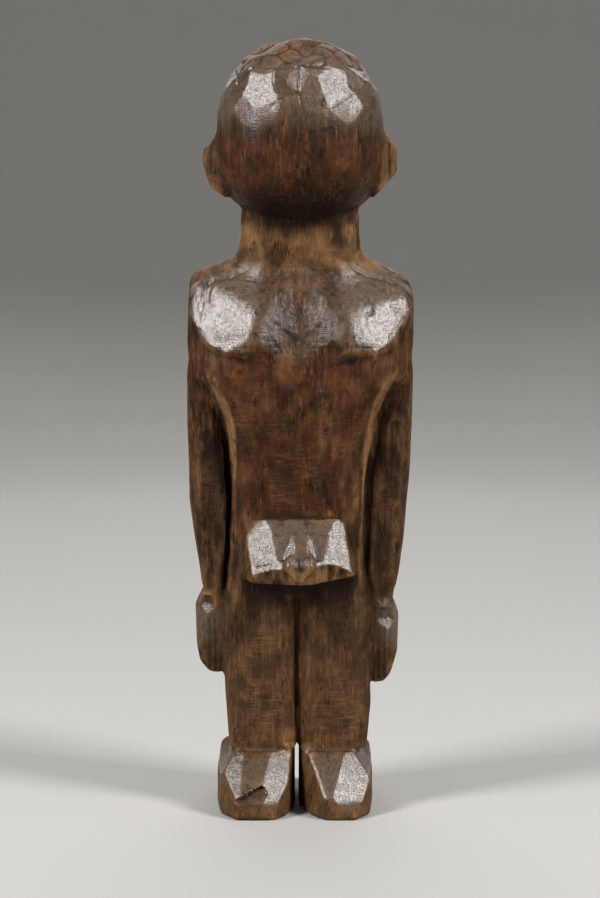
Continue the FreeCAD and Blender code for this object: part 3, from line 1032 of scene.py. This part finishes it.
def tan_mask(points, up, wobble, edge):
    """Paler wood on rubbed edges, the limbs and feet, the neck, the ears and the crown."""
    x, y, z = points.T
    heels = heel_mask(x, z, up, wobble)
    wear = np.clip(edge, 0, 1) * ramp(wobble, -0.5, 0.4) * (1 - ramp(y, 20, 22) * between(z, 60, 70, 76, 78))
    limbs = 0.25 * (1 - ramp(z, 66, 78)) * (1 - heels)
    feet = 0.42 * (1 - ramp(z, 18, 22)) * (1 - heels)
    neck = 0.85 * between(z, 172, 178, 189, 193) * mottle(points, (4, 4, 5), 9, -0.9, 0.3)
    ears = 0.45 * ramp(np.abs(x), 25.5, 28) * between(z, 199, 202, 221, 223)
    crown = 0.4 * ramp(z + 2 * wobble, 236, 243)
    return np.maximum.reduce([wear, limbs, feet, neck, ears, crown])


def grime_and_shade_mask(points, wobble, edge):
    """Dark grime in the joints, painted shade in hollows and creases and under the skull, and a painted
    shadow under the seat.
    """
    x, y, z = points.T
    # Painted shade: darker where the skin lies in a hollow of the broad shape.
    hollow = np.clip(-sample(broad, points) - 0.25, 0, 1)
    # Painted shade under the overhang of the skull.
    shade_under_skull = between(z, 186, 191, 196 + 3 * wobble, 207 + 3 * wobble) * ramp(y, 4, 12)
    # Painted shadow under the lip of the buttocks.
    shadow_under_seat = ramp(y, 12, 13) * between(z, 64, 70, 75.8, 77.0) * (1 - ramp(np.abs(x), 17, 20))
    # Painted shade in creases, where the skin bends inwards.
    crease_shade = 0.7 * np.clip(-edge, 0, 1)
    # Dark grime in the cut joints and grooves.
    seams = 0.9 * sample(joints, points)
    return np.maximum.reduce([crease_shade, hollow, seams, 0.85 * shade_under_skull, 0.95 * shadow_under_seat])


def masks(points, normals):
    """How polished (with a painted sheen), tan, dark with grime and painted shade, red and cross-hatched the
    wood is at each point, from 0 to 1.
    """
    x, y, z = points.T
    up = normals[:, 2]
    back = ramp(normals[:, 1], 0.0, 0.4)
    edge = np.clip(sample(rounded, points) / 0.34, -1, 1)
    wobble = 0.5 * value_noise(points, (7, 7, 11), 5) + 0.5 * value_noise(points, (3, 3, 6), 6)
    to_edge = np.where(x > 0, read(PANEL_LEFT, z) - x, read(PANEL_RIGHT, z) + x)
    trunk_edge = ramp(y, 8.5, 11) * between(z, 68, 76, 138, 146) * ramp(to_edge, -2.2, -1.2)
    trunk_edge = trunk_edge * (1 - ramp(to_edge + 0.6 * wobble, 0.8, 2.0))
    end_grain = ramp(y, 16, 18) * between(z, 73, 75, 81, 83) * (1 - ramp(up, -0.1, 0.2))
    tan = [tan_mask(points, up, wobble, edge), trunk_edge]
    tan.append(end_grain * mottle(points, (1.2, 1.2, 9), 14, -0.5, 0.5))
    tan.append(stains(TAN_STAINS, x, z, back, wobble) * mottle(points, (1.6, 1.6, 9), 11, -0.5, 0.5))
    # Dark stains, with painted shade beside the arm cuts, in the dent on the right pad and at the nape.
    stains_and_shade = stains(DARK_STAINS_AND_SHADE, x, z, back, wobble) * mottle(points, (1.8, 1.8, 7), 12, -0.7, 0.4)
    ankle = between(z, 13, 16, 24, 28) * ramp(y, 10, 13)
    # Darkness from grime in joints and from painted shade and shadow, joined with the stains.
    grime_and_shade = np.maximum(grime_and_shade_mask(points, wobble, edge), stains_and_shade)
    return {
        "polish_and_sheen": polish_and_sheen_mask(x, y, z, up, wobble),
        "tan": np.maximum.reduce(tan),
        "grime_and_shade": grime_and_shade * (1 - 0.8 * ankle) * (1 - 0.85 * trunk_edge) * (1 - 0.8 * end_grain),
        "red": red_mask(x, y, z, wobble, to_edge) * back,
        "hatched": stains(HATCHED_PATCHES, x, z, back, wobble) * mottle(points, (4, 4, 5), 13, -0.7, 0.4),
    }


# Stains on the back of the doll: x, z, half width, half height, and how strong
# Dark stains on the back, with painted shade beside the arm cuts, in the dent on the right pad and at the
# nape.
DARK_STAINS_AND_SHADE = [
    (3, 112, 9, 13, 0.45),
    (-8, 104, 7, 8, 0.35),
    (12, 100, 8, 6, 0.3),
    (8, 134, 6, 7, 0.25),
    (0, 203, 16, 5, 0.3),
    (-27, 84, 4, 12, 0.55),
    (-25, 132, 4, 9, 0.55),
    (28, 122, 3, 16, 0.45),
    (30, 92, 4, 10, 0.35),
    (-30, 112, 4, 14, 0.3),
    (17, 60, 7, 8, 0.3),
    (-14, 58, 6, 7, 0.3),
    (6, 28, 6, 4, 0.25),
    (-22.3, 163, 2.8, 2.8, 0.8),
    (5, 97.6, 6, 1.3, 0.9),
    (24, 104, 3, 16, 0.35),
    (-24, 100, 3, 22, 0.45),
]
HATCHED_PATCHES = [
    (15, 128, 12, 15, 0.9),
    (2, 108, 17, 13, 1.0),
    (-12, 122, 9, 8, 0.5),
    (13, 52, 11, 12, 0.8),
    (14, 30, 10, 12, 1.0),
    (-10, 30, 9, 16, 1.0),
    (-12, 60, 8, 8, 0.5),
    (29, 100, 5, 30, 0.4),
    (-29, 92, 5, 26, 0.4),
]
TAN_STAINS = [
    (-24.5, 122, 1.4, 16, 0.7),
    (27.5, 135, 1.6, 10, 0.6),
    (2, 20, 5, 5, 0.5),
    (-10, 97.2, 9, 1.3, 0.7),
    (13, 148.2, 7, 1.6, 0.7),
    (-15, 149.0, 6, 1.4, 0.4),
    (-17, 108, 5, 14, 0.45),
    (-9, 124, 4, 12, 0.4),
    (12, 132, 5, 10, 0.3),
    (3, 146, 5, 6, 0.45),
    (-12, 140, 5, 9, 0.3),
    (2, 172, 9, 4, 0.5),
    (-9, 90, 3, 4, 0.4),
    (20, 84, 2.5, 12, 0.4),
    (0, 181, 16, 4, 0.35),
    (1.5, 26, 5, 8, 0.55),
    (-18, 30, 5, 8, 0.3),
    (16, 36, 6, 10, 0.25),
    (21, 60, 3, 14, 0.35),
]


def stains(table, x, z, back, wobble):
    """The strongest of the soft-edged stains at each point of the back."""
    total = np.zeros(len(x))
    for at_x, at_z, half_x, half_z, strength in table:
        away = np.sqrt(((x - at_x) / half_x) ** 2 + ((z - at_z) / half_z) ** 2)
        total = np.maximum(total, strength * (1 - ramp(away + 0.5 * wobble, 0.35, 1.25)))
    return total * back


# Blurs of the field: rounded finds rubbed edges and the creases where shade is painted, broad finds the
# hollows where shade is painted.
rounded = blurred(field, 1.0)
broad = blurred(field, 3.2)


# Wood


def link(tree, a, b):
    """Feeds the output a into the input b."""
    tree.links.new(a, b)


def node(tree, kind, **values):
    """A new node, with plain values in the inputs that are named."""
    made = tree.nodes.new(kind)
    for key, value in values.items():
        made.inputs[key].default_value = value
    return made


def feed(tree, socket, value):
    """Sets a socket to a plain value, or links it to another node's output."""
    if isinstance(value, bpy.types.NodeSocket):
        link(tree, value, socket)
    else:
        socket.default_value = value


def mix_colour(tree, factor, a, b):
    """Colour a where the factor is 0, and colour b where it is 1."""
    made = tree.nodes.new("ShaderNodeMix")
    made.data_type = "RGBA"
    for socket, value in ((0, factor), (6, a), (7, b)):
        feed(tree, made.inputs[socket], value)
    return made.outputs[2]


def calculate(tree, operation, a, b):
    """One sum on two numbers or outputs."""
    made = tree.nodes.new("ShaderNodeMath")
    made.operation = operation
    feed(tree, made.inputs[0], a)
    feed(tree, made.inputs[1], b)
    return made.outputs[0]


def remap(tree, value, low, high, new_low=0.0, new_high=1.0):
    """An easy slope from new_low, where the value is low, to new_high, where it is high."""
    made = tree.nodes.new("ShaderNodeMapRange")
    made.interpolation_type = "SMOOTHSTEP"
    link(tree, value, made.inputs[0])
    for socket, number in zip(list(made.inputs)[1:5], (low, high, new_low, new_high)):
        socket.default_value = number
    return made.outputs[0]


def grain(tree, place, across, length, detail, rough, turn=(0.0, 0.0, 0.0)):
    """Noise drawn out along z: across and length are the size of one streak in millimetres."""
    mapping = node(tree, "ShaderNodeMapping", Rotation=turn, Scale=(1 / across, 1 / across, 1 / length))
    link(tree, place, mapping.inputs["Vector"])
    noise = node(tree, "ShaderNodeTexNoise", Scale=1.0 / MM, Detail=detail, Roughness=rough)
    link(tree, mapping.outputs[0], noise.inputs["Vector"])
    return noise.outputs[0]


def attribute(tree, name):
    """A mask of the mesh."""
    made = tree.nodes.new("ShaderNodeAttribute")
    made.attribute_name = name
    return made.outputs["Fac"]


DEEP = (0.011, 0.0045, 0.0016, 1)
BROWN = (0.058, 0.023, 0.0078, 1)
RED = (0.082, 0.022, 0.0052, 1)
ORANGE = (0.19, 0.072, 0.019, 1)
TAN = (0.27, 0.138, 0.056, 1)
# Burnished wood, with painted sheen on the flats that face the lamps.
BURNISH_AND_SHEEN_GREY = (0.12, 0.08, 0.051, 1)
OLIVE = (0.046, 0.03, 0.011, 1)
# Near black for grime and for painted shade and shadow.
GRIME_AND_SHADE_BLACK = (0.004, 0.002, 0.001, 1)
MASKS = ("polish_and_sheen", "tan", "grime_and_shade", "red", "hatched")


def carved_wood(name):
    """Handled dark hardwood: upright grain, pores, rubbed edges, grime in joints with painted shade in
    hollows, burnished flats with a painted grey sheen.
    """
    material = bpy.data.materials.new(name)
    material.use_nodes = True
    tree = material.node_tree
    shader = tree.nodes["Principled BSDF"]
    place = tree.nodes.new("ShaderNodeTexCoord").outputs["Object"]
    polish_and_sheen, tan, grime_and_shade, red, hatched = (attribute(tree, key) for key in MASKS)

    streaks = grain(tree, place, 1.3, 10, 4, 0.68)
    fibres = grain(tree, place, 0.4, 3.4, 3, 0.7)
    blotches = grain(tree, place, 6, 11, 4, 0.6)
    patches = grain(tree, place, 4, 6, 4, 0.65)
    pores = grain(tree, place, 0.24, 2.0, 2, 0.5)
    hatch = grain(tree, place, 5.0, 0.32, 2, 0.55, turn=(0.0, math.radians(4), 0.0))
    dark_stains = grain(tree, place, 7, 9, 3, 0.55)
    scratches = grain(tree, place, 3.0, 0.3, 2, 0.6, turn=(0.0, math.radians(-35), 0.0))
    speckle = grain(tree, place, 1.2, 1.8, 3, 0.5)

    def share(*factors):
        """The product of the factors."""
        total = factors[0]
        for factor in factors[1:]:
            total = calculate(tree, "MULTIPLY", total, factor)
        return total

    unpolished = calculate(tree, "SUBTRACT", 1.0, polish_and_sheen)
    uncrossed = calculate(tree, "SUBTRACT", 1.0, share(hatched, 0.65))
    bright_streaks = share(remap(tree, streaks, 0.5, 0.62), remap(tree, fibres, 0.46, 0.62))
    dark_patches = share(remap(tree, patches, 0.46, 0.34), remap(tree, fibres, 0.62, 0.4))
    layers = [
        (share(red, remap(tree, blotches, 0.36, 0.56), 0.8), RED),
        (share(unpolished, remap(tree, patches, 0.52, 0.66), 0.6), OLIVE),
        (share(bright_streaks, uncrossed, 0.75), ORANGE),
        (share(tan, remap(tree, fibres, 0.3, 0.6, 0.45, 1.0)), TAN),
        # Lighter grey on the polished flats: the burnished tone of the wood, with painted sheen where the
        # flats face the lamps.
        (share(polish_and_sheen, remap(tree, speckle, 0.32, 0.62, 0.5, 0.85)), BURNISH_AND_SHEEN_GREY),
        (share(dark_patches, 0.88), DEEP),
        (share(hatched, unpolished, remap(tree, hatch, 0.46, 0.66), 0.42), TAN),
        (share(unpolished, remap(tree, dark_stains, 0.56, 0.4), 0.45), DEEP),
        # Near black where there is grime, and where shade and shadow are painted.
        (share(grime_and_shade, remap(tree, fibres, 0.3, 0.7, 1.0, 0.7)), GRIME_AND_SHADE_BLACK),
        (share(remap(tree, pores, 0.42, 0.28), 0.7), DEEP),
    ]
    wood = mix_colour(tree, remap(tree, streaks, 0.38, 0.6), DEEP, BROWN)
    for amount, colour in layers:
        wood = mix_colour(tree, amount, wood, colour)
    link(tree, wood, shader.inputs["Base Color"])

    base_rough = remap(tree, fibres, 0.3, 0.7, 0.5, 0.68)
    rough = calculate(tree, "SUBTRACT", base_rough, share(polish_and_sheen, 0.4))
    link(tree, calculate(tree, "MAXIMUM", rough, 0.14), shader.inputs["Roughness"])
    shader.inputs["Specular IOR Level"].default_value = 0.14
    link(tree, share(polish_and_sheen, remap(tree, speckle, 0.34, 0.64, 0.55, 0.95)), shader.inputs["Coat Weight"])
    shader.inputs["Coat Roughness"].default_value = 0.27
    shader.inputs["Coat IOR"].default_value = 1.75

    fine = calculate(tree, "ADD", share(fibres, 0.6), share(pores, 0.4))
    crossed = share(hatch, remap(tree, hatched, 0.0, 1.0, 0.35, 0.8))
    height = calculate(tree, "ADD", fine, calculate(tree, "ADD", crossed, share(scratches, 0.45)))
    bump = node(tree, "ShaderNodeBump", Strength=0.5, Distance=0.3 * MM)
    link(tree, height, bump.inputs["Height"])
    link(tree, bump.outputs[0], shader.inputs["Normal"])
    link(tree, bump.outputs[0], shader.inputs["Coat Normal"])
    return material


# Pieces


def put_in_scene(name, data):
    """A new object with this mesh, light or camera."""
    placed = bpy.data.objects.new(name, data)
    bpy.context.scene.collection.objects.link(placed)
    return placed


record_slots = {s["node"]: s["material_slot"] for s in frame["record"]["subparts"]}
woods = {slot: carved_wood(slot) for slot in sorted(set(record_slots.values()))}


def make_piece(name, mesh):
    """One member: masks and normals from the field, then metres, a wood and its place in the frame."""
    main_island(mesh)
    points = mesh_points(mesh)
    normals = normals_at(field, points)
    for key, values in masks(points, normals).items():
        layer = mesh.attributes.new(key, "FLOAT", "POINT")
        layer.data.foreach_set("value", np.clip(values, 0, 1).astype(np.float32))
    mesh.vertices.foreach_set("co", (points * MM).astype(np.float32).reshape(-1))
    mesh.shade_smooth()
    mesh.normals_split_custom_set_from_vertices(normals.tolist())
    mesh.update()
    piece = put_in_scene("carved_" + name, mesh)
    mesh.materials.append(woods[record_slots[name]])
    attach(piece, "root")
    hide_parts(name)


for name, mesh in divide_all(skin()).items():
    make_piece(name, mesh)


# Stage, light and camera

FLOOR_RADIUS = 1.3
FLOOR_SIDES = 96
SWEEP_RADIUS = 1.2
SWEEP_STEPS = 12
SWEEP_HEIGHT = 2.2
LIT_POINT = Vector((0, 0, 0.14))
CAMERA_DISTANCE = 0.6983
CAMERA_HEIGHT = 0.1657
CAMERA_DROP = math.radians(3.966)
FOCAL = 85.0
SENSOR = 36.0


def make_floor():
    """A plain pale floor that sweeps up all round, far from the doll."""
    profile = [(0.0, 0.0), (FLOOR_RADIUS / 2, 0.0), (FLOOR_RADIUS, 0.0)]
    for k in range(1, SWEEP_STEPS + 1):
        a = math.pi / 2 * k / SWEEP_STEPS
        profile.append((FLOOR_RADIUS + SWEEP_RADIUS * math.sin(a), SWEEP_RADIUS * (1 - math.cos(a))))
    profile.append((FLOOR_RADIUS + SWEEP_RADIUS, SWEEP_HEIGHT))
    whole = bmesh.new()
    for r, z in profile:
        whole.verts.new((0, r, z))
    whole.verts.ensure_lookup_table()
    edges = [whole.edges.new((whole.verts[k], whole.verts[k + 1])) for k in range(len(profile) - 1)]
    turned = whole.verts[:] + edges
    bmesh.ops.spin(whole, geom=turned, angle=2 * math.pi, steps=FLOOR_SIDES, axis=(0, 0, 1), cent=(0, 0, 0))
    bmesh.ops.remove_doubles(whole, verts=whole.verts, dist=1e-5)
    mesh = bpy.data.meshes.new("floor")
    whole.to_mesh(mesh)
    whole.free()
    mesh.shade_smooth()
    floor = put_in_scene("floor", mesh)
    material = bpy.data.materials.new("pale_floor")
    material.use_nodes = True
    shader = material.node_tree.nodes["Principled BSDF"]
    shader.inputs["Base Color"].default_value = (0.46, 0.45, 0.43, 1)
    shader.inputs["Roughness"].default_value = 0.9
    mesh.materials.append(material)


def softbox(name, bearing, lift, distance, size, power):
    """An area light at a bearing from the camera's side, facing the doll."""
    light = bpy.data.lights.new(name, "AREA")
    light.shape = "RECTANGLE"
    light.size, light.size_y = size
    light.energy = power
    lamp = put_in_scene(name, light)
    way = Vector(way_out(math.radians(lift), math.radians(90 - bearing)))
    lamp.location = LIT_POINT + way * distance
    lamp.rotation_euler = way.to_track_quat("Z", "Y").to_euler()


def make_light():
    """Two tall softboxes on the camera's side, a weak wide one in front of the doll, and a dim sky."""
    softbox("softbox_left", 58, 36, 1.25, (0.32, 0.5), 15.0)
    softbox("softbox_right", -58, 36, 1.25, (0.32, 0.5), 15.0)
    softbox("softbox_front", 180, 40, 1.5, (1.3, 1.2), 11.0)
    world = bpy.data.worlds.new("studio")
    bpy.context.scene.world = world
    world.use_nodes = True
    sky = world.node_tree.nodes["Background"]
    sky.inputs["Color"].default_value = (1, 1, 1, 1)
    sky.inputs["Strength"].default_value = 0.12


def make_camera():
    """Behind the doll, level with its shoulder blades, looking a little down."""
    data = bpy.data.cameras.new("camera")
    data.lens = FOCAL
    data.sensor_fit = "VERTICAL"
    data.sensor_height = SENSOR
    data.clip_start = 0.01
    camera = put_in_scene("camera", data)
    camera.location = (0, CAMERA_DISTANCE, CAMERA_HEIGHT)
    camera.rotation_euler = (math.pi / 2 - CAMERA_DROP, 0, math.pi)
    bpy.context.scene.camera = camera


bpy.context.scene.view_settings.view_transform = "Standard"
make_floor()
make_light()
make_camera()

bpy.context.view_layer.update()
